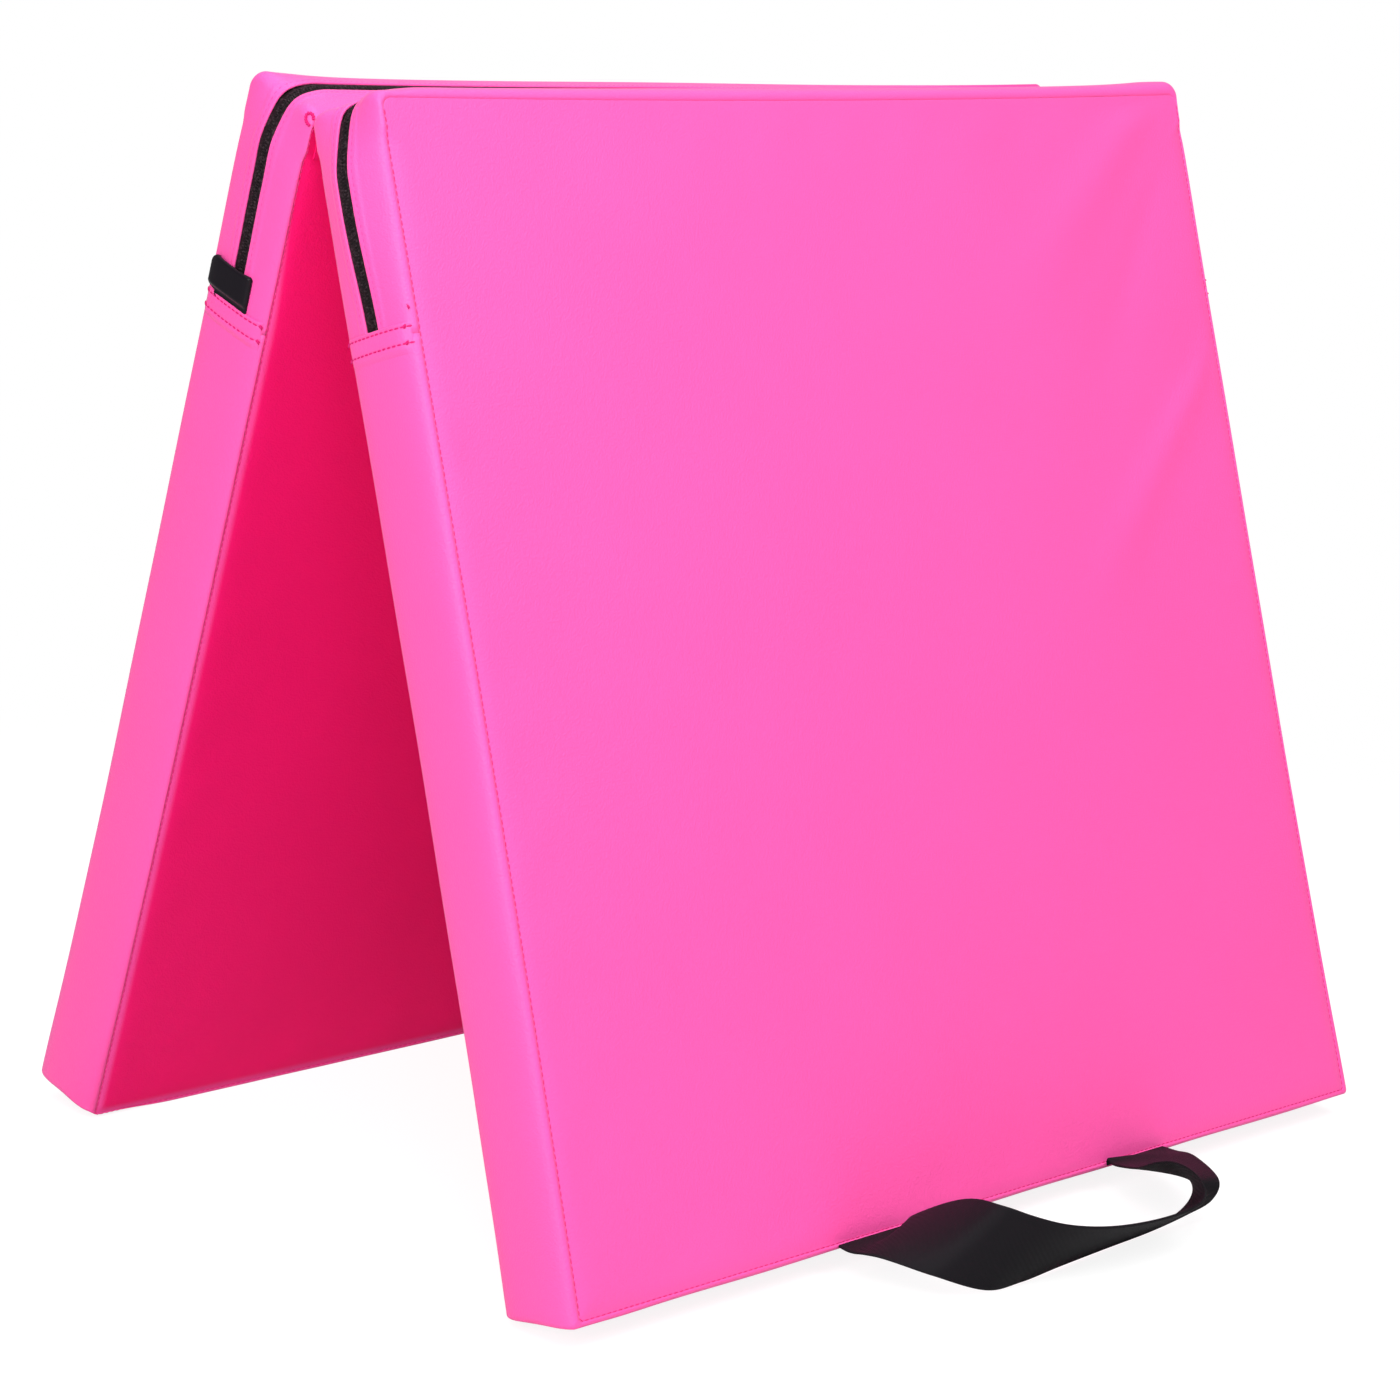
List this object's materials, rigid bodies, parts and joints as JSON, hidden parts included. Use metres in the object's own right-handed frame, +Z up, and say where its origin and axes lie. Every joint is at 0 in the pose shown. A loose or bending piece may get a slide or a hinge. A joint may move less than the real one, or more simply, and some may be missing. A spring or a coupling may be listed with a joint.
{
  "type": "folding gym mat",
  "caption": "Padded bi-fold exercise mat standing as an upside-down V, with zipped covers, a fabric hinge along the fold and a webbing carrying handle on each panel.",
  "frame": {"origin": "on the floor, in the middle under the fold", "axes": "+X along the fold, to the right of someone facing the front panel; +Y from the front panel to the back panel; +Z up"},
  "size_m": [0.6074, 0.6656, 0.5842],
  "materials": {
    "cover": "matte fine-grained coated fabric, hot pink",
    "foam": "closed-cell foam, off-white",
    "zip_tape": "woven tape with plastic coil, brown-black",
    "slider": "black enamel",
    "tab": "glossy black soft plastic",
    "webbing": "black woven webbing with a soft sheen"
  },
  "bodies": {
    "back_panel": {"back_foam_block": "foam", "back_outer_sheet": "cover", "back_inner_sheet": "cover", "back_boxing_strip": "cover", "back_zip_strip_outer": "cover", "back_zip_strip_inner": "cover", "back_zip_tape_outer": "zip_tape", "back_zip_tape_inner": "zip_tape", "back_hem_bands": "cover", "back_hinge_leaf": "cover"},
    "front_panel": {"front_foam_block": "foam", "front_outer_sheet": "cover", "front_inner_sheet": "cover", "front_boxing_strip": "cover", "front_zip_strip_outer": "cover", "front_zip_strip_inner": "cover", "front_zip_tape_outer": "zip_tape", "front_zip_tape_inner": "zip_tape", "front_hem_bands": "cover", "front_hinge_leaf": "cover"},
    "front_slider": {"front_zip_slider": "slider"},
    "front_tab": {"front_zip_tab": "tab"},
    "front_handle": {"front_handle": "webbing"},
    "back_slider": {"back_zip_slider": "slider"},
    "back_tab": {"back_zip_tab": "tab"},
    "back_handle": {"back_handle": "webbing"}
  },
  "joints": [
    {"name": "fold", "type": "hinge", "parent": "back_panel", "child": "front_panel", "pos_m": [0, 0, 0.57047], "axis": [-1, 0, 0], "range_deg": [-35.4, 144.4]},
    {"name": "front_slider_slide", "type": "slide", "parent": "front_panel", "child": "front_slider", "axis": [0.0153, 0.3057, 0.952], "range_m": [0, 0.048]},
    {"name": "front_tab_lift", "type": "hinge", "parent": "front_panel", "child": "front_tab", "pos_m": [0.3024, -0.06345, 0.47342], "axis": [0, 0.9521, -0.3057], "range_deg": [0, 100]},
    {"name": "front_handle_swing", "type": "hinge", "parent": "front_panel", "child": "front_handle", "pos_m": [0, -0.23569, 0.01683], "axis": [-1, 0, 0], "range_deg": [-60, 25]},
    {"name": "back_slider_slide", "type": "slide", "parent": "back_panel", "child": "back_slider", "axis": [-0.0153, -0.3057, 0.952], "range_m": [0, 0.048]},
    {"name": "back_tab_lift", "type": "hinge", "parent": "back_panel", "child": "back_tab", "pos_m": [-0.3024, 0.06345, 0.47342], "axis": [0, -0.9521, -0.3057], "range_deg": [0, 100]},
    {"name": "back_handle_swing", "type": "hinge", "parent": "back_panel", "child": "back_handle", "pos_m": [0, 0.23569, 0.01683], "axis": [1, 0, 0], "range_deg": [-60, 25]}
  ]
}
